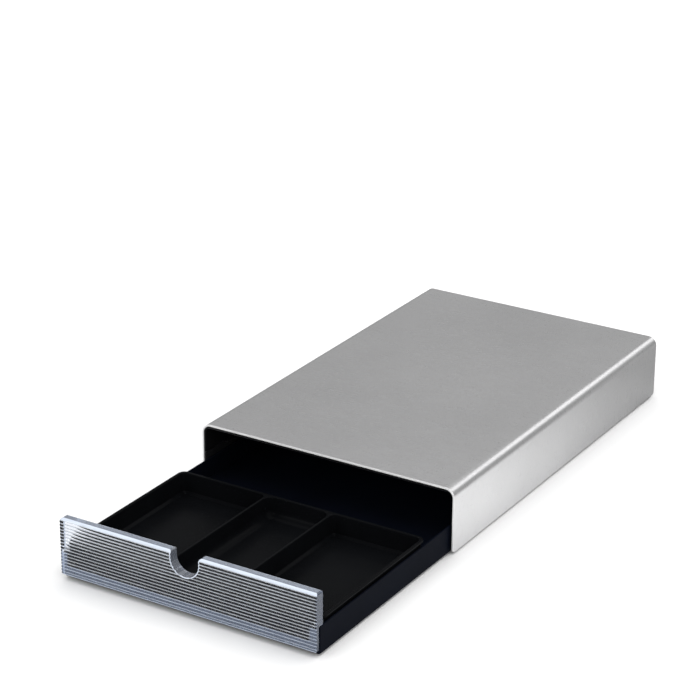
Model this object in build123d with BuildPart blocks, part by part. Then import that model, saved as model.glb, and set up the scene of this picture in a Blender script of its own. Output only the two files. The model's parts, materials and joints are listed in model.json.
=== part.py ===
"""Coffee pod drawer: a low brushed steel stand with a pull-out tray under it.

Millimetres. +Z is up, -Y is the front, X = 0 is the plane of symmetry and Z = 0 the worktop.
The drawer stands out of the housing by `opening`, and Y = 0 is half way along the whole thing.
"""
import math
import os

from build123d import *

os.makedirs("parts", exist_ok=True)

# ---- Driving dimensions of the housing ---------------------------------------------------
width = 256.0             # over the steel sides
depth = 400.0             # steel, front edge to rear edge
side_height = 59.0        # steel side, lower edge to top face
sheet = 1.5               # stainless sheet
bend_radius = 8.5         # outside radius of the two long bends
corner_round = 3.0        # lower corners of the steel sides

foot_height = 1.2         # rubber below the chassis
foot_chamfer = 0.4
foot_radius = 8.0
foot_inset_side = 16.0    # foot centre from the outside of the steel
foot_inset_front = 36.0
foot_inset_rear = 34.0

chassis_sheet = 1.0       # black steel pan that carries the drawer
chassis_bend = 1.5        # its outside bend radius
chassis_front_gap = 15.0  # the pan's floor starts this far behind the steel's front edge
chassis_rear_gap = 6.0
flange_front_gap = 1.0    # the pan's side flanges start nearly flush
lip_width = 6.0           # folded lip that holds the drawer down
lip_start = 30.0          # lip, behind the steel's front edge
bead_from_side = 35.0     # pressed runner bead, centre from the outside of the steel
bead_width = 14.0         # flat top of the bead
bead_slope = 2.0
bead_height = 1.0

glide_width = 12.0        # slippery strip on each bead
glide_thickness = 0.5
glide_corner = 3.0
glide_front_gap = 19.0
glide_rear_gap = 40.0

liner_wall = 1.0          # black moulded liner inside the steel
liner_rib_height = 1.3    # ribs between the liner's skin and the steel top
liner_bend = 5.5
liner_rib = 1.2           # thickness of those ribs
liner_ribs_long = 5
liner_ribs_cross = 8
liner_rib_margin = 9.0    # outermost ribs, from the liner's edges

rear_wall = 2.0           # moulded rear panel
rear_inset = 1.0          # behind which the steel stands out
rear_rib_height = 1.6
rear_rib_width = 1.0
rear_rib_count = 7
rear_rib_from_side = 44.0 # outermost ribs, from the outside of the steel
lug_width = 16.0          # screw lugs on the rear panel
lug_setback = 1.0         # the lugs end this far short of the bumpers
lug_height = 6.5
lug_top = 2.0             # left above the blind screw hole
lug_from_side = 68.0
bumper_from_side = 40.0
bumper_height = 18.0      # above the worktop
bumper_radius = 5.5
bumper_length = 6.0
bumper_stem_radius = 2.0
bumper_post_radius = 7.5
bumper_post_length = 6.0

stop_from_side = 68.0     # stop blocks in the pan, which end the drawer's travel
stop_width = 14.0
stop_length = 14.0
stop_front_gap = 22.0
stop_height = 3.7
stop_ramp = 1.8           # chamfer that lifts the drawer over as it is fitted
tongue_slot = 1.2
tongue_edge = 2.4         # tongue slot, centre from the block's side

# ---- Driving dimensions of the drawer ----------------------------------------------------
opening = 210.0           # how far the drawer stands out here
travel_out = 262.0        # how far out it stands against its stops
panel_rise = 2.8          # panel's lower edge above the tray's
bar_depth = 9.2           # the panel's thick upper bar
skirt_depth = 3.2         # its thin lower skirt
rib_count = 17            # half-round ribs along the front face
rib_depth = 0.7
bevel_rise = 1.56         # rounded front top edge, above the highest rib
bevel_run = 3.7           # and back along the top
bevel_belly = 0.7         # fullness of that rounding
panel_corner = 2.0
notch_width = 27.2        # finger notch
notch_depth = 19.5
notch_corner = 1.8
skirt_root = 0.8          # fillet between skirt and bar, and the bar's rear edges

tape_thickness = 1.0      # foam tape between panel and tray
tape_end_gap = 6.2        # panel end to tape end
tape_foot_gap = 9.4       # panel's lower edge to tape
tape_top_gap = 0.6

tray_height = 24.3        # tray walls
tray_wall = 1.6
tray_floor = 2.0
tray_floor_rise = 4.0     # floor's underside above the tray's lower edge
tray_corner = 2.0
tray_front_wall = 2.0
tray_edge = 0.4           # chamfer of the walls' upper edges
ear_length = 44.0         # raised ears at the rear, which run under the lips
ear_ramp = 12.0
runner_width = 4.0        # ribs under the floor that ride on the glide strips
spine_width = 2.0
stop_rib = 3.0            # cross rib that meets the stop blocks
locating_rib_height = 2.0 # low rib behind the insert that keeps it in its place
locating_rib = 1.6

shoe_length = 28.0        # slippery shoe on each ear
shoe_wall = 0.9
shoe_drop = 4.0
shoe_chamfer = 0.6

rim_height = 29.2         # organiser's rim above the tray's lower edge
rim_width = 2.9
rim_thickness = 1.5
rim_overlap = 1.0         # how far the rim stays inside the tray's outer face
rim_corner = 7.0
rim_edge = 0.4            # bevel of the rim's edges
insert_front = 9.7        # rim's front edge behind the panel's front
insert_rear = 172.0       # rim's rear edge behind the panel's front
insert_wall = 1.6
insert_floor_height = 10.5  # inside floor above the tray's lower edge
insert_floor = 1.8
insert_draft = 5.0        # degrees
insert_foot = 2.4
divider = 2.0
middle_width = 63.6       # clear width of the middle compartment at the rim
pocket_corner = 5.0
middle_corner = 9.0
pocket_bevel = 2.0        # where the side compartments' walls meet their floors
middle_round = 8.0        # and the middle one's

screw_radius = 1.5
screw_head_radius = 2.7
screw_head_height = 1.0
screw_socket_radius = 0.8
screw_socket_depth = 0.5

# ---- Clearances --------------------------------------------------------------------------
clearance = 0.3           # between parts that slide past each other
nest_gap = 0.1            # between nested sheets
hole_gap = 0.15           # around stems and screws, per side
tray_to_chassis = 1.2     # each side of the drawer
drawer_to_liner = 0.8     # above the panel
rim_to_lip = 0.5          # above the organiser's rim

# ---- Places worked out from them ---------------------------------------------------------
overall = depth + opening
drawer_front = -overall / 2
housing_front = drawer_front + opening
housing_rear = housing_front + depth

pan_bottom = foot_height
pan_floor = pan_bottom + chassis_sheet
shell_bottom = pan_floor
shell_top = shell_bottom + side_height
pan_half = width / 2 - sheet - nest_gap
pan_inner_half = pan_half - chassis_sheet
bead_x = width / 2 - bead_from_side
bumper_x = width / 2 - bumper_from_side
lug_x = width / 2 - lug_from_side
stop_x = width / 2 - stop_from_side
rear_rib_x = width / 2 - rear_rib_from_side
glide_bottom = pan_floor + bead_height
runner_bottom = glide_bottom + glide_thickness + clearance

tray_bottom = pan_floor + clearance
tray_half = pan_inner_half - tray_to_chassis
drawer_width = 2 * tray_half
tray_top = tray_bottom + tray_height
floor_bottom = tray_bottom + tray_floor_rise
floor_top = floor_bottom + tray_floor
rim_top = tray_bottom + rim_height
lip_bottom = rim_top + rim_to_lip
lip_top = lip_bottom + chassis_sheet
shoe_top = lip_bottom - clearance
ear_top = shoe_top - shoe_wall

skin_top = shell_top - sheet - nest_gap - liner_rib_height
skin_bottom = skin_top - liner_wall
panel_top = skin_bottom - drawer_to_liner
panel_bottom = tray_bottom + panel_rise
panel_height = panel_top - panel_bottom
rib_pitch = (panel_height - bevel_rise) / rib_count

rear_corner = bend_radius - sheet - nest_gap
rear_face = housing_rear - rear_inset - rear_wall
bumper_face = rear_face - bumper_post_length
lug_depth = bumper_post_length + bumper_length - lug_setback
# pushed in, the panel is flush with the steel and the tray meets the bumpers
tray_front = drawer_front + skirt_depth + tape_thickness
tray_rear = bumper_face - bumper_length - clearance - opening


def across(y):
    """Plane square to the depth at y: local x is X, local y is Z, and it faces the front."""
    return Plane(origin=(0, y, 0), x_dir=(1, 0, 0), z_dir=(0, -1, 0))


def level(z):
    """Horizontal plane at height z."""
    return Plane.XY.offset(z)


def write(part, name):
    """Label a finished piece and write it."""
    part.label = name
    export_step(part, f"parts/{name}.step")


# ==== Housing =============================================================================

# Steel top and both sides, bent from one sheet
with BuildPart() as outer_shell:
    with BuildSketch(across(housing_rear)):
        with BuildLine():
            FilletPolyline(
                (-width / 2, shell_bottom),
                (-width / 2, shell_top),
                (width / 2, shell_top),
                (width / 2, shell_bottom),
                radius=bend_radius,
            )
            offset(amount=sheet, side=Side.RIGHT)
        make_face()
    extrude(amount=depth)
    lower_corners = outer_shell.edges().filter_by(Axis.X).group_by(Axis.Z)[0]
    fillet(lower_corners, corner_round)
write(outer_shell.part, "outer_shell")

# Black steel pan: floor with two runner beads, side flanges and inward lips
with BuildPart() as base_chassis:
    bead_out = bead_width / 2 + bead_slope
    half_section = [
        (pan_half - lip_width, lip_top),
        (pan_half, lip_top),
        (pan_half, pan_bottom),
        (bead_x + bead_out, pan_bottom),
        (bead_x + bead_width / 2, pan_bottom + bead_height),
        (bead_x - bead_width / 2, pan_bottom + bead_height),
        (bead_x - bead_out, pan_bottom),
    ]
    other_half = [(-x, z) for x, z in reversed(half_section)]
    pan_rear = housing_rear - chassis_rear_gap
    flange_front = housing_front + flange_front_gap
    with BuildSketch(across(pan_rear)):
        with BuildLine():
            FilletPolyline(*half_section, *other_half, radius=chassis_bend)
            offset(amount=chassis_sheet, side=Side.RIGHT)
        make_face()
    extrude(amount=pan_rear - flange_front)
    # the floor and the lips stop short of the front
    with BuildSketch(level(0)):
        with Locations((0, flange_front)):
            Rectangle(
                2 * pan_half + sheet,
                chassis_front_gap - flange_front_gap,
                align=(Align.CENTER, Align.MIN),
            )
    extrude(amount=pan_floor + chassis_bend, mode=Mode.SUBTRACT)
    with BuildSketch(level(lip_bottom - chassis_bend)):
        with Locations((0, flange_front)):
            Rectangle(
                2 * pan_inner_half,
                lip_start - flange_front_gap,
                align=(Align.CENTER, Align.MIN),
            )
    extrude(amount=chassis_bend + 2 * chassis_sheet, mode=Mode.SUBTRACT)
    # holes for the screws of the stop blocks and of the rear panel
    stop_y = housing_front + stop_front_gap + stop_length / 2
    lug_y = rear_face - lug_depth / 2
    screw_places = [
        (side * x, y)
        for x, y in ((stop_x, stop_y), (lug_x, lug_y))
        for side in (-1, 1)
    ]
    with BuildSketch(level(0)):
        with Locations(*screw_places):
            Circle(screw_radius + hole_gap)
    extrude(amount=pan_floor + bead_height, mode=Mode.SUBTRACT)
write(base_chassis.part, "base_chassis")

# Moulded liner in three pieces. The plate under the steel top is ribbed to stiffen the platform
liner_half = pan_half
plate_half = liner_half - liner_bend
liner_front = housing_front + flange_front_gap
liner_rear = rear_face - clearance
liner_length = liner_rear - liner_front
liner_middle = (liner_front + liner_rear) / 2
with BuildPart() as liner_plate:
    rib_span = 2 * (liner_half - liner_rib_margin)
    rib_run = liner_length - 2 * liner_rib_margin
    with BuildSketch(level(skin_bottom)):
        with Locations((0, liner_middle)):
            Rectangle(2 * plate_half, liner_length)
    extrude(amount=liner_wall)
    with BuildSketch(level(skin_top)):
        with Locations((0, liner_middle)):
            with GridLocations(rib_span / (liner_ribs_long - 1), 0, liner_ribs_long, 1):
                Rectangle(liner_rib, rib_run)
            with GridLocations(0, rib_run / (liner_ribs_cross - 1), 1, liner_ribs_cross):
                Rectangle(rib_span, liner_rib)
    extrude(amount=liner_rib_height)
write(liner_plate.part, "liner_plate")

# The side pieces stand on the pan's lips, and their shoulders follow the steel's bends
with BuildPart() as right_liner_side:
    liner_foot = lip_top + clearance
    shoulder = skin_top - liner_bend
    with BuildSketch(across(liner_rear)):
        with BuildLine():
            Line((liner_half, liner_foot), (liner_half, shoulder))
            CenterArc((plate_half, shoulder), liner_bend, 0, 90)
            offset(amount=liner_wall, side=Side.LEFT)
        make_face()
    extrude(amount=liner_length)
write(right_liner_side.part, "right_liner_side")
write(mirror(right_liner_side.part, about=Plane.YZ), "left_liner_side")

# Moulded rear panel with screw lugs, stiffening ribs and two posts for the rubber bumpers
with BuildPart() as rear_panel:
    rear_half = width / 2 - sheet - nest_gap
    rear_bottom = pan_floor + nest_gap
    rear_top = shell_top - sheet - nest_gap
    with BuildSketch(across(housing_rear - rear_inset)) as rear_outline:
        with Locations((0, rear_bottom)):
            Rectangle(2 * rear_half, rear_top - rear_bottom, align=(Align.CENTER, Align.MIN))
        fillet(rear_outline.vertices().group_by(Axis.Z)[-1], rear_corner)
    extrude(amount=rear_wall)
    rear_rib_foot = rear_bottom + rear_corner
    rear_rib_length = skin_bottom - rear_rib_foot - clearance
    with BuildSketch(across(rear_face)):
        with Locations((0, rear_rib_foot + rear_rib_length / 2)):
            with GridLocations(2 * rear_rib_x / (rear_rib_count - 1), 0, rear_rib_count, 1):
                Rectangle(rear_rib_width, rear_rib_length)
    extrude(amount=rear_rib_height)
    with BuildSketch(across(rear_face)):
        with Locations((-bumper_x, bumper_height), (bumper_x, bumper_height)):
            Circle(bumper_post_radius)
    extrude(amount=bumper_post_length)
    with BuildSketch(level(pan_floor)):
        with Locations((-lug_x, lug_y), (lug_x, lug_y)):
            Rectangle(lug_width, lug_depth)
    extrude(amount=lug_height)
    with BuildSketch(across(rear_face - bumper_post_length)):
        with Locations((-bumper_x, bumper_height), (bumper_x, bumper_height)):
            Circle(bumper_stem_radius + hole_gap)
    extrude(amount=-bumper_post_length, mode=Mode.SUBTRACT)
    with BuildSketch(level(pan_floor)):
        with Locations((-lug_x, lug_y), (lug_x, lug_y)):
            Circle(screw_radius + hole_gap)
    extrude(amount=lug_height - lug_top, mode=Mode.SUBTRACT)
write(rear_panel.part, "rear_panel")

# Rubber bumpers plugged into the posts
for side, name in ((-1, "left_bumper"), (1, "right_bumper")):
    with BuildPart() as bumper:
        with BuildSketch(across(bumper_face)):
            with Locations((side * bumper_x, bumper_height)):
                Circle(bumper_radius)
        extrude(amount=bumper_length)
        with BuildSketch(across(bumper_face)):
            with Locations((side * bumper_x, bumper_height)):
                Circle(bumper_stem_radius)
        extrude(amount=-(bumper_post_length - hole_gap))
    write(bumper.part, name)

# Rubber feet bonded under the pan
foot_places = [
    (side * (width / 2 - foot_inset_side), y)
    for y in (housing_front + foot_inset_front, housing_rear - foot_inset_rear)
    for side in (-1, 1)
]
foot_names = ("front_left_foot", "front_right_foot", "rear_left_foot", "rear_right_foot")
for place, name in zip(foot_places, foot_names):
    with BuildPart() as foot:
        with BuildSketch(level(0)):
            with Locations(place):
                Circle(foot_radius)
        extrude(amount=foot_height)
        chamfer(foot.edges().group_by(Axis.Z)[0], foot_chamfer)
    write(foot.part, name)

# Slippery strips on the runner beads
for side, name in ((-1, "left_glide_strip"), (1, "right_glide_strip")):
    with BuildPart() as glide_strip:
        strip_front = housing_front + glide_front_gap
        strip_length = housing_rear - glide_rear_gap - strip_front
        with BuildSketch(level(glide_bottom)):
            with Locations((side * bead_x, strip_front + strip_length / 2)):
                RectangleRounded(glide_width, strip_length, glide_corner)
        extrude(amount=glide_thickness)
    write(glide_strip.part, name)

# Stop blocks: a screwed foot with a springy tongue that the drawer is pressed past to fit it
for side, name in ((-1, "left_stop_block"), (1, "right_stop_block")):
    with BuildPart() as stop_block:
        with BuildSketch(level(pan_floor)):
            with Locations((side * stop_x, stop_y)):
                Rectangle(stop_width, stop_length)
        extrude(amount=stop_height)
        front_edge = stop_block.faces().sort_by(Axis.Z)[-1].edges().sort_by(Axis.Y)[0]
        chamfer(front_edge, stop_ramp)
        with BuildSketch(level(pan_floor + screw_head_height)):
            with Locations((side * stop_x, stop_y)):
                Circle(screw_head_radius + hole_gap)
        extrude(amount=stop_height, mode=Mode.SUBTRACT)
        with BuildSketch(level(pan_floor)):
            with Locations((side * stop_x, stop_y)):
                Circle(screw_radius + hole_gap)
            tongue_x = side * (stop_x - stop_width / 2 + tongue_edge)
            with Locations((tongue_x, stop_y + stop_length / 4)):
                Rectangle(tongue_slot, stop_length / 2)
        extrude(amount=stop_height, mode=Mode.SUBTRACT)
    write(stop_block.part, name)

# Low-head screws, from above into the stop blocks and from below into the rear panel
with BuildPart() as stop_screws:
    for side in (-1, 1):
        with BuildSketch(level(pan_bottom)):
            with Locations((side * stop_x, stop_y)):
                Circle(screw_radius)
        extrude(amount=chassis_sheet + screw_head_height)
        with BuildSketch(level(pan_floor + screw_head_height)):
            with Locations((side * stop_x, stop_y)):
                Circle(screw_head_radius)
        extrude(amount=screw_head_height)
    with BuildSketch(level(pan_floor + 2 * screw_head_height)):
        with Locations((-stop_x, stop_y), (stop_x, stop_y)):
            RegularPolygon(screw_socket_radius, 6)
    extrude(amount=-screw_socket_depth, mode=Mode.SUBTRACT)
write(stop_screws.part, "stop_screws")

with BuildPart() as rear_panel_screws:
    for side in (-1, 1):
        with BuildSketch(level(pan_bottom - screw_head_height)):
            with Locations((side * lug_x, lug_y)):
                Circle(screw_head_radius)
        extrude(amount=screw_head_height)
        with BuildSketch(level(pan_bottom)):
            with Locations((side * lug_x, lug_y)):
                Circle(screw_radius)
        extrude(amount=chassis_sheet + lug_height - lug_top - screw_head_height)
    with BuildSketch(level(pan_bottom - screw_head_height)):
        with Locations((-lug_x, lug_y), (lug_x, lug_y)):
            RegularPolygon(screw_socket_radius, 6)
    extrude(amount=screw_socket_depth, mode=Mode.SUBTRACT)
write(rear_panel_screws.part, "rear_panel_screws")

# ==== Drawer ==============================================================================

# Clear front panel: a thick bar over a thin skirt, ribbed along its front, with a finger notch
with BuildPart() as front_panel:
    rib_back = drawer_front + rib_depth
    ribs_top = panel_bottom + rib_count * rib_pitch
    bar_bottom = tray_top + hole_gap
    bar_back = drawer_front + bar_depth
    skirt_back = drawer_front + skirt_depth
    bevel_back = rib_back + bevel_run
    bevel_mid = (rib_back + (1 - bevel_belly) * bevel_run, ribs_top + bevel_belly * bevel_rise)
    with BuildSketch(Plane.YZ) as panel_section:
        with BuildLine():
            for i in range(rib_count):
                foot = panel_bottom + i * rib_pitch
                ThreePointArc(
                    (rib_back, foot),
                    (drawer_front, foot + rib_pitch / 2),
                    (rib_back, foot + rib_pitch),
                )
            ThreePointArc((rib_back, ribs_top), bevel_mid, (bevel_back, panel_top))
            Polyline(
                (bevel_back, panel_top),
                (bar_back, panel_top),
                (bar_back, bar_bottom),
                (skirt_back, bar_bottom),
                (skirt_back, panel_bottom),
                (rib_back, panel_bottom),
            )
        make_face()
        root = panel_section.vertices().sort_by_distance((0, skirt_back, bar_bottom))[0]
        fillet(root, skirt_root)
        rear_corners = panel_section.vertices().group_by(Axis.Y)[-1]
        fillet(rear_corners, skirt_root)
    extrude(amount=drawer_width / 2, both=True)
    # front outline: rounded corners and the notch with its softened mouth
    with BuildSketch(across(bar_back)):
        with Locations((0, panel_bottom + panel_height / 2)):
            RectangleRounded(drawer_width, panel_height, panel_corner)
        notch_half = notch_width / 2
        notch_centre = panel_top - notch_depth + notch_half
        mouth = notch_half + notch_corner
        with BuildLine():
            CenterArc((-mouth, panel_top - notch_corner), notch_corner, 90, -90)
            Line((-notch_half, panel_top - notch_corner), (-notch_half, notch_centre))
            CenterArc((0, notch_centre), notch_half, 180, 180)
            Line((notch_half, notch_centre), (notch_half, panel_top - notch_corner))
            CenterArc((mouth, panel_top - notch_corner), notch_corner, 180, -90)
            Line((mouth, panel_top), (-mouth, panel_top))
        make_face(mode=Mode.SUBTRACT)
    extrude(amount=bar_depth, mode=Mode.INTERSECT)
write(front_panel.part, "front_panel")

# Foam tape that bonds the skirt to the tray
with BuildPart() as bonding_tape:
    tape_bottom = panel_bottom + tape_foot_gap
    tape_height = tray_top - tape_top_gap - tape_bottom
    with BuildSketch(across(tray_front)):
        with Locations((0, tape_bottom + tape_height / 2)):
            Rectangle(drawer_width - 2 * tape_end_gap, tape_height)
    extrude(amount=tape_thickness)
write(bonding_tape.part, "bonding_tape")

# Moulded tray: raised floor inside four walls, with ears at the rear that run under the lips
with BuildPart() as drawer_tray:
    tray_length = tray_rear - tray_front
    tray_middle = (tray_front + tray_rear) / 2
    inner_half = tray_half - tray_wall
    inner_front = tray_front + tray_front_wall
    inner_rear = tray_rear - tray_front_wall
    inner_length = inner_rear - inner_front
    inner_middle = (inner_front + inner_rear) / 2
    inner_corner = tray_corner - tray_wall / 2
    with BuildSketch(level(tray_bottom)):
        with Locations((0, tray_middle)):
            RectangleRounded(2 * tray_half, tray_length, tray_corner)
    extrude(amount=ear_top - tray_bottom)
    # side profile: low walls, ramping up to the ears
    with BuildSketch(Plane.YZ):
        with BuildLine():
            Polyline(
                (tray_front, tray_top),
                (tray_rear - ear_length, tray_top),
                (tray_rear - ear_length + ear_ramp, ear_top),
                (tray_rear - ear_length + ear_ramp, ear_top + tray_height),
                (tray_front, ear_top + tray_height),
                close=True,
            )
        make_face()
    extrude(amount=tray_half, both=True, mode=Mode.SUBTRACT)
    # inside, and the hollow under the floor
    with BuildSketch(level(floor_top)):
        with Locations((0, inner_middle)):
            RectangleRounded(2 * inner_half, inner_length, inner_corner)
    extrude(amount=ear_top - tray_bottom, mode=Mode.SUBTRACT)
    with BuildSketch(level(tray_bottom)):
        with Locations((0, inner_middle)):
            RectangleRounded(2 * inner_half, inner_length, inner_corner)
    extrude(amount=tray_floor_rise, mode=Mode.SUBTRACT)
    chamfer(drawer_tray.edges().filter_by(Axis.Y).group_by(Axis.Z)[-2], tray_edge)
    # the rear wall clears the beads and the strips on them
    with BuildSketch(across(tray_rear)):
        with Locations((0, tray_bottom)):
            Rectangle(2 * inner_half, 2 * (runner_bottom - tray_bottom))
    extrude(amount=tray_front_wall, mode=Mode.SUBTRACT)
    # runners on the glide strips, a spine, and the rib that meets the stop blocks
    with BuildSketch(level(runner_bottom)):
        with Locations((-bead_x, inner_middle), (bead_x, inner_middle)):
            Rectangle(runner_width, inner_length)
        with Locations((0, inner_middle)):
            Rectangle(spine_width, inner_length)
    extrude(amount=floor_bottom - runner_bottom)
    stop_rib_front = housing_front + stop_front_gap + stop_length + clearance
    stop_rib_here = stop_rib_front + travel_out - opening
    with BuildSketch(level(tray_bottom)):
        with Locations((0, stop_rib_here)):
            Rectangle(
                2 * (bead_x - bead_width / 2 - bead_slope - clearance),
                stop_rib,
                align=(Align.CENTER, Align.MIN),
            )
    extrude(amount=tray_floor_rise)
    # a low rib that locates the organiser
    foot_rear = drawer_front + insert_rear - (rim_width - insert_wall)
    locating_front = foot_rear + clearance
    with BuildSketch(level(floor_top)):
        with Locations((0, locating_front)):
            Rectangle(2 * inner_half, locating_rib, align=(Align.CENTER, Align.MIN))
    extrude(amount=locating_rib_height)
write(drawer_tray.part, "drawer_tray")

# Slippery shoes clipped over the ears
for side, name in ((-1, "left_shoe"), (1, "right_shoe")):
    with BuildPart() as shoe:
        shoe_x = side * (tray_half - tray_wall / 2)
        shoe_rear = inner_rear - inner_corner
        with BuildSketch(level(shoe_top - shoe_drop)):
            with Locations((shoe_x, shoe_rear)):
                Rectangle(tray_wall + 2 * shoe_wall, shoe_length, align=(Align.CENTER, Align.MAX))
        extrude(amount=shoe_drop)
        with BuildSketch(level(shoe_top - shoe_drop)):
            with Locations((shoe_x, shoe_rear)):
                Rectangle(tray_wall, shoe_length, align=(Align.CENTER, Align.MAX))
        extrude(amount=shoe_drop - shoe_wall, mode=Mode.SUBTRACT)
        chamfer(shoe.faces().sort_by(Axis.Z)[-1].edges(), shoe_chamfer)
    write(shoe.part, name)

# Organiser: three drafted compartments under one flat rim, standing in the tray on a foot ring
with BuildPart() as organiser_insert:
    rim_half = tray_half - rim_overlap
    rim_front_y = drawer_front + insert_front
    rim_rear_y = drawer_front + insert_rear
    rim_middle = (rim_front_y + rim_rear_y) / 2
    rim_length = rim_rear_y - rim_front_y
    lip_out = rim_width - insert_wall
    pocket_floor = tray_bottom + insert_floor_height
    pocket_depth = rim_top - pocket_floor
    with BuildSketch(level(rim_top)):
        with Locations((0, rim_middle)):
            RectangleRounded(2 * rim_half, rim_length, rim_corner)
    extrude(amount=-rim_thickness)
    with BuildSketch(level(rim_top)):
        with Locations((0, rim_middle)):
            RectangleRounded(2 * (rim_half - lip_out), rim_length - 2 * lip_out, rim_corner - lip_out)
    extrude(amount=-(rim_top - floor_top), taper=insert_draft)
    # the three compartments
    inner_x = rim_half - rim_width
    pocket_length = rim_length - 2 * rim_width
    side_width = inner_x - middle_width / 2 - divider
    side_x = inner_x - side_width / 2
    for centre, pocket_width, corner in (
        (-side_x, side_width, pocket_corner),
        (0, middle_width, middle_corner),
        (side_x, side_width, pocket_corner),
    ):
        with BuildSketch(level(rim_top)):
            with Locations((centre, rim_middle)):
                RectangleRounded(pocket_width, pocket_length, corner)
        extrude(amount=-pocket_depth, taper=insert_draft, mode=Mode.SUBTRACT)
        floor = organiser_insert.faces(Select.LAST).filter_by(Axis.Z).sort_by(Axis.Z)[0]
        if centre:
            chamfer(floor.edges(), pocket_bevel)
        else:
            fillet(floor.edges(), middle_round)
    chamfer(organiser_insert.faces().sort_by(Axis.Z)[-1].edges(), rim_edge)
    # hollow under the floor, leaving the foot ring
    drop = rim_top - floor_top
    shrink = drop * math.tan(math.radians(insert_draft))
    with BuildSketch(level(floor_top)):
        with Locations((0, rim_middle)):
            RectangleRounded(
                2 * (rim_half - lip_out - shrink - insert_foot),
                rim_length - 2 * (lip_out + shrink + insert_foot),
                pocket_corner,
            )
    extrude(amount=pocket_floor - insert_floor - floor_top, mode=Mode.SUBTRACT)
write(organiser_insert.part, "organiser_insert")
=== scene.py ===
import json
import math

import bpy
import bmesh
from mathutils import Matrix, Vector


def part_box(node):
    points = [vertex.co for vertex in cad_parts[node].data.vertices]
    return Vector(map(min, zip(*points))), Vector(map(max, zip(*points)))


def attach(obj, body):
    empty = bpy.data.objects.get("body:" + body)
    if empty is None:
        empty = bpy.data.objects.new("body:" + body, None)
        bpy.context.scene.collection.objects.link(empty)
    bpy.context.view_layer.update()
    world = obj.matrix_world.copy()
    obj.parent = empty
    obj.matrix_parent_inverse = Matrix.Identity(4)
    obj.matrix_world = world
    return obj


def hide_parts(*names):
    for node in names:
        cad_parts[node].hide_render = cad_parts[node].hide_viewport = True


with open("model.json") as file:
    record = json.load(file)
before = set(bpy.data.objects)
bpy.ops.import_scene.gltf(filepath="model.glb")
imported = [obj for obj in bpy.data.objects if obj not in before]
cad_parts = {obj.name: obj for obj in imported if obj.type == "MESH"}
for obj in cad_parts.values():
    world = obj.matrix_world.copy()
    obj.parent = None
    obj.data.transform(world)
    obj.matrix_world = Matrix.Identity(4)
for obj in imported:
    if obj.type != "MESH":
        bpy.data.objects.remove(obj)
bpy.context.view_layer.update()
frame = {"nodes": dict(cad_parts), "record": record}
nodes = frame["nodes"]

steel_low, steel_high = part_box("outer_shell")
panel_low, panel_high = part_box("front_panel")
tape_low, tape_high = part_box("bonding_tape")
tray_wall_top = 0.0268
bar_foot = tray_wall_top + 0.00015  # underside of the panel's thick upper bar
notch_radius = 0.0136
notch_centre = panel_high.z - 0.0059


# ---- node helpers ------------------------------------------------------------------------
def grey(value):
    return (value, value, value, 1.0)


class Tree:
    """Short calls that make the nodes of a node tree and wire them up."""

    def __init__(self, tree):
        self.tree = tree

    def node(self, kind, **values):
        made = self.tree.nodes.new("ShaderNode" + kind)
        for key, value in values.items():
            setattr(made, key, value)
        return made

    def feed(self, socket, value):
        """Link an output to a socket, or give the socket a plain value."""
        if isinstance(value, (int, float, tuple)):
            socket.default_value = value
        else:
            self.tree.links.new(value, socket)

    def math(self, kind, *values):
        made = self.node("Math", operation=kind)
        for socket, value in zip(made.inputs, values):
            self.feed(socket, value)
        return made.outputs["Value"]

    def chain(self, kind, first, *others):
        """The same sum over two or more values, two at a time."""
        for other in others:
            first = self.math(kind, first, other)
        return first

    def times(self, *values):
        return self.chain("MULTIPLY", *values)

    def plus(self, *values):
        return self.chain("ADD", *values)

    def most(self, *values):
        return self.chain("MAXIMUM", *values)

    def split(self, vector):
        parts = self.node("SeparateXYZ")
        self.feed(parts.inputs[0], vector)
        return parts.outputs["X"], parts.outputs["Y"], parts.outputs["Z"]

    def span(self, value, low, high, from_low=0.3, from_high=0.7):
        """A value stretched to low..high. A noise texture mostly lies between 0.3 and 0.7."""
        made = self.node("MapRange")
        made.inputs["From Min"].default_value = from_low
        made.inputs["From Max"].default_value = from_high
        made.inputs["To Min"].default_value = low
        made.inputs["To Max"].default_value = high
        self.feed(made.inputs["Value"], value)
        return made.outputs["Result"]

    def ramp(self, value, *points):
        """Straight-line interpolation through (input, output) points."""
        made = self.node("ValToRGB")
        stops = made.color_ramp.elements
        low, high = points[0][0], points[-1][0]
        while len(stops) < len(points):
            stops.new(0.5)
        for stop, (at, level) in zip(stops, points):
            stop.position = (at - low) / (high - low)
            stop.color = grey(level)
        self.feed(made.inputs["Fac"], self.span(value, 0.0, 1.0, low, high))
        return made.outputs["Color"]

    def rise(self, value, reach, start, end):
        """0 up to start and 1 from end, for a value inside reach."""
        low, high = reach
        return self.ramp(value, (low, 0.0), (start, 0.0), (end, 1.0), (high, 1.0))

    def fall(self, value, reach, start, end):
        """1 up to start and 0 from end, for a value inside reach."""
        low, high = reach
        return self.ramp(value, (low, 1.0), (start, 1.0), (end, 0.0), (high, 0.0))

    def background(self, color, strength):
        made = self.node("Background")
        self.feed(made.inputs["Color"], color)
        made.inputs["Strength"].default_value = strength
        return made.outputs[0]

    def choose(self, fac, first, second):
        """One of two shaders."""
        made = self.node("MixShader")
        for socket, value in zip(made.inputs, (fac, first, second)):
            self.feed(socket, value)
        return made.outputs[0]


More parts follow.
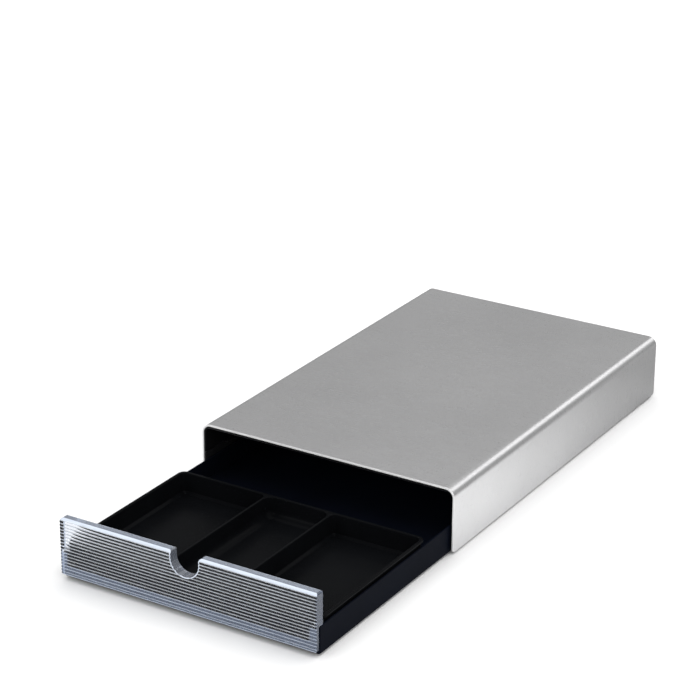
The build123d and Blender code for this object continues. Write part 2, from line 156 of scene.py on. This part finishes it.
class Mat(Tree):
    """A material with a Principled shader."""

    def __init__(self, name, **sockets):
        self.mat = bpy.data.materials.new(name)
        self.mat.use_nodes = True
        super().__init__(self.mat.node_tree)
        self.shader = self.tree.nodes["Principled BSDF"]
        for key, value in sockets.items():
            self.to(key.replace("_", " "), value)

    def to(self, name, value):
        """Set or feed the shader's socket of this name, in upper or lower case."""
        found = [s for s in self.shader.inputs if s.name.lower() == name.lower()]
        self.feed(found[0], value)

    def place(self, scale):
        """Position on the object in metres, stretched by scale along X, Y and Z."""
        mapping = self.node("Mapping")
        mapping.inputs["Scale"].default_value = scale
        self.feed(mapping.inputs["Vector"], self.node("TexCoord").outputs["Object"])
        return mapping.outputs["Vector"]

    def where(self):
        return self.split(self.place((1, 1, 1)))

    def facing(self):
        """Components of the outward normal."""
        return self.split(self.node("TexCoord").outputs["Normal"])

    def outside(self):
        """1 on surfaces seen from outside, 0 from inside the material."""
        return self.math("SUBTRACT", 1.0, self.node("NewGeometry").outputs["Backfacing"])

    def noise(self, scale, detail=3.0, stretch=(1, 1, 1), rough=0.55):
        made = self.node("TexNoise")
        made.inputs["Scale"].default_value = scale
        made.inputs["Detail"].default_value = detail
        made.inputs["Roughness"].default_value = rough
        self.feed(made.inputs["Vector"], self.place(stretch))
        return made.outputs["Fac"]

    def mix(self, fac, a, b):
        made = self.node("Mix", data_type="RGBA")
        for i, value in ((0, fac), (6, a), (7, b)):
            self.feed(made.inputs[i], value)
        return made.outputs[2]

    def bump(self, height, strength, distance, normal=None):
        made = self.node("Bump")
        made.inputs["Strength"].default_value = strength
        made.inputs["Distance"].default_value = distance
        self.feed(made.inputs["Height"], height)
        if normal is not None:
            self.feed(made.inputs["Normal"], normal)
        return made.outputs["Normal"]

    def soft_edge(self, radius):
        made = self.node("Bevel", samples=6)
        made.inputs["Radius"].default_value = radius
        return made.outputs["Normal"]


# ---- materials ---------------------------------------------------------------------------
def brushed_steel():
    """Stainless sheet brushed across: the grain runs along X on top and up the sides. Its cut
    front edge is deburred; it and the first millimetre behind it carry a light painted highlight."""
    m = Mat("brushed_steel")
    streaks = m.noise(1.0, 4.0, (60, 2600, 60), 0.6)
    mottle = m.noise(1.0, 3.0, (260, 420, 260), 0.5)
    clouds = m.noise(9.0, 2.0)
    tone = m.plus(m.span(streaks, -0.035, 0.035), m.span(mottle, -0.02, 0.02),
                  m.span(clouds, 0.44, 0.56))
    sheet = m.mix(tone, (0.5, 0.5, 0.505, 1), (0.92, 0.92, 0.925, 1))
    _, ny, _ = m.facing()
    _, y, _ = m.where()
    edge = steel_low.y
    # painted highlight: the cut front face and the first millimetre behind the front edge get
    # light, non-metallic colour for the light a deburred edge catches
    cut = m.fall(ny, (-1.0, 1.0), -0.8, -0.5)
    painted_highlight_strip = m.ramp(y, (edge - 0.005, 0.9), (edge + 0.0010, 0.9), (edge + 0.0014, 0.0),
                  (steel_high.y + 0.005, 0.0))
    painted_highlight = m.most(cut, painted_highlight_strip)
    m.to("Base Color", m.mix(painted_highlight, sheet, (0.93, 0.93, 0.935, 1)))
    m.to("Metallic", m.math("SUBTRACT", 1.0, painted_highlight))
    m.to("Roughness", m.plus(m.span(streaks, 0.26, 0.38), m.span(mottle, -0.02, 0.02),
                             m.times(painted_highlight, 0.2)))
    m.to("Normal", m.bump(streaks, 0.12, 0.00004, m.soft_edge(0.0005)))
    return m.mat


def clear_acrylic():
    """Polished clear moulding. Painted highlights on the upper flank of each rib, both upper
    edges, the foot and the notch's outline stand for light running along inside it; its ends look
    navy."""
    m = Mat("clear_acrylic", ior=1.49)
    _, ny, nz = m.facing()
    x, y, z = m.where()
    outside = m.outside()
    aside = m.math("ABSOLUTE", x)
    unit, heights, widths = (-1.0, 1.0), (0.0, 0.06), (0.0, 0.125)
    foot_z, top_z = panel_low.z, panel_high.z
    front = m.fall(ny, unit, -0.35, -0.15)

    # painted highlights as light lines: rib flanks, both upper edges, the foot and the finger
    # notch's outline
    flank = m.ramp(nz, (-1.0, 0.0), (0.5, 0.0), (0.58, 1.0), (0.72, 1.0), (0.76, 0.0), (1.0, 0.0))
    front_edge = m.times(m.rise(z, heights, top_z - 0.0017, top_z - 0.0015),
                         m.fall(ny, unit, -0.1, -0.02))
    rear = m.ramp(ny, (-1.0, 0.0), (0.02, 0.0), (0.06, 1.0), (0.9, 1.0), (1.0, 0.0))
    rear_edge = m.times(rear, m.rise(z, heights, top_z - 0.0015, top_z - 0.0010))
    foot = m.times(m.fall(z, heights, foot_z + 0.0009, foot_z + 0.0013), front)
    low = m.math("MINIMUM", m.math("SUBTRACT", z, notch_centre), 0.0)
    from_notch = m.math("SQRT", m.plus(m.times(x, x), m.times(low, low)))
    notch = m.times(m.fall(from_notch, (0.0, 0.13), notch_radius + 0.0007, notch_radius + 0.0009),
                    front)
    # painted highlight mask: where it is high the colour turns light blue-white and partly
    # diffuse in place of clear glass
    glow = m.most(m.times(front, flank, 0.72), front_edge, foot, rear_edge, notch)
    glow = m.times(glow, outside, m.span(m.noise(55.0, 4.0), 0.9, 1.0))

    # painted sheen: light blue-grey, partly diffuse colour on the skirt round the tape, the ends,
    # the notch's wall and the flat top, standing for reflected light
    beside = m.rise(aside, widths, tape_high.x - 0.0008, tape_high.x)
    under = m.fall(z, heights, tape_low.z - 0.0004, tape_low.z + 0.0004)
    below = m.fall(z, heights, bar_foot - 0.00075, bar_foot + 0.00025)
    skirt = m.times(m.most(beside, under), below, front)
    across = m.fall(m.math("ABSOLUTE", ny), (0.0, 1.0), 0.1, 0.2)
    walls = m.times(across, m.fall(z, heights, top_z - 0.0005, top_z - 0.0002), 0.6)
    painted_sheen = m.times(m.most(skirt, walls), outside)
    top = m.rise(nz, unit, 0.9985, 0.9995)

    end = m.rise(aside, widths, panel_high.x - 0.0018, panel_high.x - 0.0010)
    clear = m.mix(end, (0.95, 0.97, 1.0, 1), (0.35, 0.42, 0.58, 1))
    # painted sheen: the skirt, the walls and the flat top turn light blue-grey and partly diffuse
    clear = m.mix(painted_sheen, clear, (0.32, 0.39, 0.54, 1))
    clear = m.mix(top, clear, (0.6, 0.66, 0.78, 1))
    painted_sheen = m.most(painted_sheen, m.times(top, outside, 0.75))
    m.to("Base Color", m.mix(glow, clear, (0.79, 0.87, 1.0, 1)))
    cover = m.most(m.times(glow, 0.88), m.times(painted_sheen, 0.33))
    m.to("Transmission Weight", m.math("SUBTRACT", 1.0, cover))
    m.to("Roughness", 0.0)
    inside = m.node("VolumeAbsorption")
    inside.inputs["Color"].default_value = (0.3, 0.45, 0.78, 1)
    inside.inputs["Density"].default_value = 10.0
    m.feed(m.tree.nodes["Material Output"].inputs["Volume"], inside.outputs["Volume"])
    return m.mat


def moulded(name, low, high, rough, grain=2400.0, depth=0.00002, specular=0.45, edge=0.00035,
            ior=1.45):
    """Injection-moulded plastic with a fine grained surface."""
    m = Mat(name, specular_ior_level=specular, ior=ior)
    clouds = m.noise(14.0, 3.0)
    fine = m.noise(grain, 2.0)
    m.to("Base Color", m.mix(m.span(clouds, 0.0, 1.0), low + (1,), high + (1,)))
    m.to("Roughness", m.plus(m.span(clouds, rough - 0.03, rough + 0.03),
                             m.span(fine, -0.03, 0.03)))
    m.to("Normal", m.bump(fine, 0.25, depth, m.soft_edge(edge)))
    return m.mat


def powder_coat():
    m = Mat("black_powder_coat", metallic=0.0, specular_ior_level=0.5)
    peel = m.noise(900.0, 2.0)
    clouds = m.noise(20.0, 3.0)
    m.to("Base Color", m.mix(m.span(clouds, 0.0, 1.0), (0.012, 0.012, 0.014, 1),
                             (0.02, 0.02, 0.022, 1)))
    m.to("Roughness", m.span(peel, 0.34, 0.5))
    m.to("Normal", m.bump(peel, 0.3, 0.00004, m.soft_edge(0.0002)))
    return m.mat


def rubber():
    m = Mat("black_rubber", specular_ior_level=0.3)
    fine = m.noise(1600.0, 3.0)
    dust = m.noise(120.0, 4.0)
    m.to("Base Color", m.mix(m.span(dust, 0.0, 1.0), (0.014, 0.014, 0.014, 1),
                             (0.03, 0.03, 0.03, 1)))
    m.to("Roughness", m.span(dust, 0.72, 0.9))
    m.to("Normal", m.bump(fine, 0.3, 0.00005, m.soft_edge(0.0003)))
    return m.mat


def foam():
    m = Mat("dark_foam_tape", specular_ior_level=0.2)
    cells = m.node("TexVoronoi")
    cells.inputs["Scale"].default_value = 1800.0
    m.feed(cells.inputs["Vector"], m.place((1, 1, 1)))
    tone = m.span(cells.outputs["Distance"], 0.0, 1.0, 0.0, 0.8)
    m.to("Base Color", m.mix(tone, (0.008, 0.009, 0.014, 1), (0.02, 0.022, 0.03, 1)))
    m.to("Roughness", m.span(tone, 0.75, 0.95, 0.0, 1.0))
    m.to("Normal", m.bump(cells.outputs["Distance"], 0.3, 0.00006))
    return m.mat


def turned_steel():
    m = Mat("screw_steel", metallic=1.0)
    fine = m.noise(2600.0, 3.0)
    m.to("Base Color", m.mix(m.span(fine, 0.0, 1.0), grey(0.42), grey(0.58)))
    m.to("Roughness", m.span(fine, 0.26, 0.42))
    m.to("Normal", m.bump(fine, 0.2, 0.00002, m.soft_edge(0.0002)))
    return m.mat


tape_foam = foam()
finishes = {
    "shell_steel": brushed_steel(),
    "chassis_black": powder_coat(),
    "liner_black": moulded("liner_black", (0.005, 0.005, 0.006), (0.009, 0.009, 0.0105), 0.5,
                           grain=1500.0, depth=0.00005, specular=0.35),
    "tray_navy": moulded("tray_navy_black", (0.003, 0.004, 0.0075), (0.0045, 0.006, 0.011), 0.36,
                         specular=0.5, ior=1.06),
    "organiser_black": moulded("organiser_black", (0.003, 0.0033, 0.004),
                               (0.0048, 0.0053, 0.0062), 0.28, specular=0.5, ior=1.09),
    "panel_clear": clear_acrylic(),
    "tape_foam": tape_foam,
    "foot_rubber": rubber(),
    "glide_plastic": moulded("natural_acetal", (0.66, 0.65, 0.61), (0.74, 0.73, 0.7), 0.3,
                             grain=900.0, specular=0.5, edge=0.0002),
    "stop_plastic": moulded("stop_dark_grey", (0.04, 0.04, 0.042), (0.06, 0.06, 0.062), 0.4),
    "screw_steel": turned_steel(),
}
for part in frame["record"]["subparts"]:
    node = nodes[part["node"]]
    node.data.materials.clear()
    node.data.materials.append(finishes[part["material_slot"]])


# ---- the tape, wetted on to the clear panel ----------------------------------------------
def strip(name, boxes, mat):
    """One mesh of plain boxes, given as (low corner, high corner) in metres."""
    bm = bmesh.new()
    for low, high in boxes:
        size = [h - l for l, h in zip(low, high)]
        middle = [(h + l) / 2 for l, h in zip(low, high)]
        bmesh.ops.create_cube(bm, size=1.0, matrix=Matrix.Translation(middle)
                              @ Matrix.Diagonal((*size, 1.0)))
    mesh = bpy.data.meshes.new(name)
    bm.to_mesh(mesh)
    bm.free()
    mesh.materials.append(mat)
    obj = bpy.data.objects.new(name, mesh)
    bpy.context.scene.collection.objects.link(obj)
    return obj


wet = 0.00005          # how far adhesive faces reach into the acrylic, so that no air shows
squeezed_in = 0.0010   # foam pressed into the rounding of the bar's rear lower edge
squeezed_out = 0.0002
tape = strip("bonding_tape_wetted", [
    # behind the skirt, under the bar, and in the rounding behind it
    ((tape_low.x, tape_low.y - wet, tape_low.z), (tape_high.x, tape_high.y, bar_foot + wet)),
    ((tape_low.x, tape_high.y, tray_wall_top), (tape_high.x, panel_high.y, bar_foot + wet)),
    ((tape_low.x, panel_high.y - squeezed_in, tray_wall_top),
     (tape_high.x, panel_high.y + squeezed_out, tray_wall_top + squeezed_in)),
], tape_foam)
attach(tape, "drawer")
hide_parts("bonding_tape")


# ---- floor -------------------------------------------------------------------------------
def floor_material():
    """White floor that glows where the camera sees it far away, and is dark under the housing.
    Reflected in the steel and the panel it carries a painted shade far right and in front, for
    dark cards."""
    mat = bpy.data.materials.new("white_floor")
    mat.use_nodes = True
    t = Tree(mat.node_tree)
    t.tree.nodes.clear()
    path = t.node("LightPath").outputs
    place = t.node("TexCoord").outputs["Object"]
    x, y, _ = t.split(place)
    away = t.node("VectorMath", operation="LENGTH")
    t.feed(away.inputs[0], place)
    far = t.span(away.outputs["Value"], 0.0, 1.0, 0.4, 1.6)

    inset, soft = 0.0010, 0.0015
    half_width, half_depth = steel_high.x - inset, (steel_high.y - steel_low.y) / 2 - inset
    along = t.math("SUBTRACT", y, (steel_high.y + steel_low.y) / 2)
    clear = t.most(t.span(t.math("ABSOLUTE", x), 0.0, 1.0, half_width, half_width + soft),
                   t.span(t.math("ABSOLUTE", along), 0.0, 1.0, half_depth, half_depth + soft))

    # painted shade seen only in reflections: for glossy rays the floor is darker behind and in
    # front, and glows less behind
    painted_shade_behind = t.times(t.span(y, 0.0, 1.0, 0.02, 0.36), 0.6)
    ahead = t.times(t.span(t.times(y, -1.0), 0.0, 1.0, 0.28, 0.33), 0.6)
    painted_reflection_shade = t.times(path["Is Glossy Ray"], t.plus(painted_shade_behind, ahead))
    level = t.math("SUBTRACT", t.plus(t.times(path["Is Camera Ray"], 0.05), 0.95), painted_reflection_shade)
    tone = t.node("CombineColor")
    for channel in ("Red", "Green", "Blue"):
        t.feed(tone.inputs[channel], level)
    diffuse = t.node("BsdfDiffuse")
    t.feed(diffuse.inputs["Color"], tone.outputs["Color"])

    gloss = t.times(path["Is Glossy Ray"], t.math("SUBTRACT", 1.0, painted_shade_behind), 0.44)
    seen = t.most(path["Is Camera Ray"], gloss, path["Is Transmission Ray"])
    glow = t.node("Emission")
    t.feed(glow.inputs["Strength"], t.times(seen, clear, far))
    add = t.node("AddShader")
    t.feed(add.inputs[0], diffuse.outputs[0])
    t.feed(add.inputs[1], glow.outputs[0])
    t.feed(t.node("OutputMaterial").inputs["Surface"], add.outputs[0])
    return mat


def floor():
    bm = bmesh.new()
    bmesh.ops.create_grid(bm, x_segments=8, y_segments=8, size=9.0)
    mesh = bpy.data.meshes.new("floor")
    bm.to_mesh(mesh)
    bm.free()
    mesh.materials.append(floor_material())
    obj = bpy.data.objects.new("floor", mesh)
    bpy.context.scene.collection.objects.link(obj)


floor()


# ---- light -------------------------------------------------------------------------------
def softbox(name, place, aim, size, watts, across=None):
    light = bpy.data.lights.new(name, "AREA")
    light.shape = "RECTANGLE"
    light.size = size
    light.size_y = across or size
    light.energy = watts
    obj = bpy.data.objects.new(name, light)
    obj.location = place
    direction = Vector(aim) - Vector(place)
    obj.rotation_euler = direction.to_track_quat("-Z", "Y").to_euler()
    bpy.context.scene.collection.objects.link(obj)


def studio_world():
    """White for the camera, even light for the object, and a dimmer sky for shiny surfaces,
    darkest overhead, where the ceiling lamp is."""
    world = bpy.data.worlds.new("studio")
    bpy.context.scene.world = world
    world.use_nodes = True
    t = Tree(world.node_tree)
    t.tree.nodes.clear()
    path = t.node("LightPath").outputs
    _, _, height = t.split(t.node("TexCoord").outputs["Generated"])
    sky = t.ramp(height, (0.0, 0.25), (0.36, 0.49), (0.52, 0.40), (0.8, 0.15), (1.0, 0.1))
    mirrored = t.most(path["Is Glossy Ray"], path["Is Transmission Ray"])
    light = t.choose(mirrored, t.background(grey(1.0), 0.7), t.background(sky, 1.0))
    shown = t.choose(path["Is Camera Ray"], light, t.background(grey(1.0), 1.0))
    t.feed(t.node("OutputWorld").inputs["Surface"], shown)


# a wide ceiling, a low one in front for the panel and the steel's edge, one behind that draws
# the bright line along the steel's bend, and one for the front of the right side
softbox("overhead", (0.10, 0.30, 2.20), (0.05, 0.15, 0.0), 3.0, 30.5)
softbox("front", (-0.60, -1.75, 0.80), (0.0, -0.3, 0.03), 1.2, 5.2, 0.6)
softbox("behind", (0.95, 2.80, 1.85), (0.1, 0.1, 0.05), 1.7, 7.2, 1.0)
softbox("right", (1.30, -0.62, 0.95), (0.2, -0.05, 0.0), 1.5, 3.6)
studio_world()


# ---- camera ------------------------------------------------------------------------------
def photo_camera(place, angles, focal_pixels, photo_width=700, sensor=36.0):
    """A camera at place with its angles in degrees: turned left, down, and rolled."""
    yaw, pitch, roll = (math.radians(a) for a in angles)
    ahead = Vector((-math.sin(yaw) * math.cos(pitch), math.cos(yaw) * math.cos(pitch),
                    -math.sin(pitch)))
    level = Vector((math.cos(yaw), math.sin(yaw), 0.0))
    right = math.cos(roll) * level + math.sin(roll) * level.cross(ahead)
    up = right.cross(ahead)
    lens = bpy.data.cameras.new("camera")
    lens.sensor_width = sensor
    lens.lens = focal_pixels / photo_width * sensor
    lens.clip_start = 0.05
    camera = bpy.data.objects.new("camera", lens)
    turn = Matrix((right, up, -ahead)).transposed().to_4x4()
    camera.matrix_world = Matrix.Translation(place) @ turn
    bpy.context.scene.collection.objects.link(camera)
    bpy.context.scene.camera = camera


photo_camera((0.9983, -1.6942, 0.9374), (31.33, 22.42, 0.41), 2414.4)
bpy.context.scene.view_settings.view_transform = "Standard"
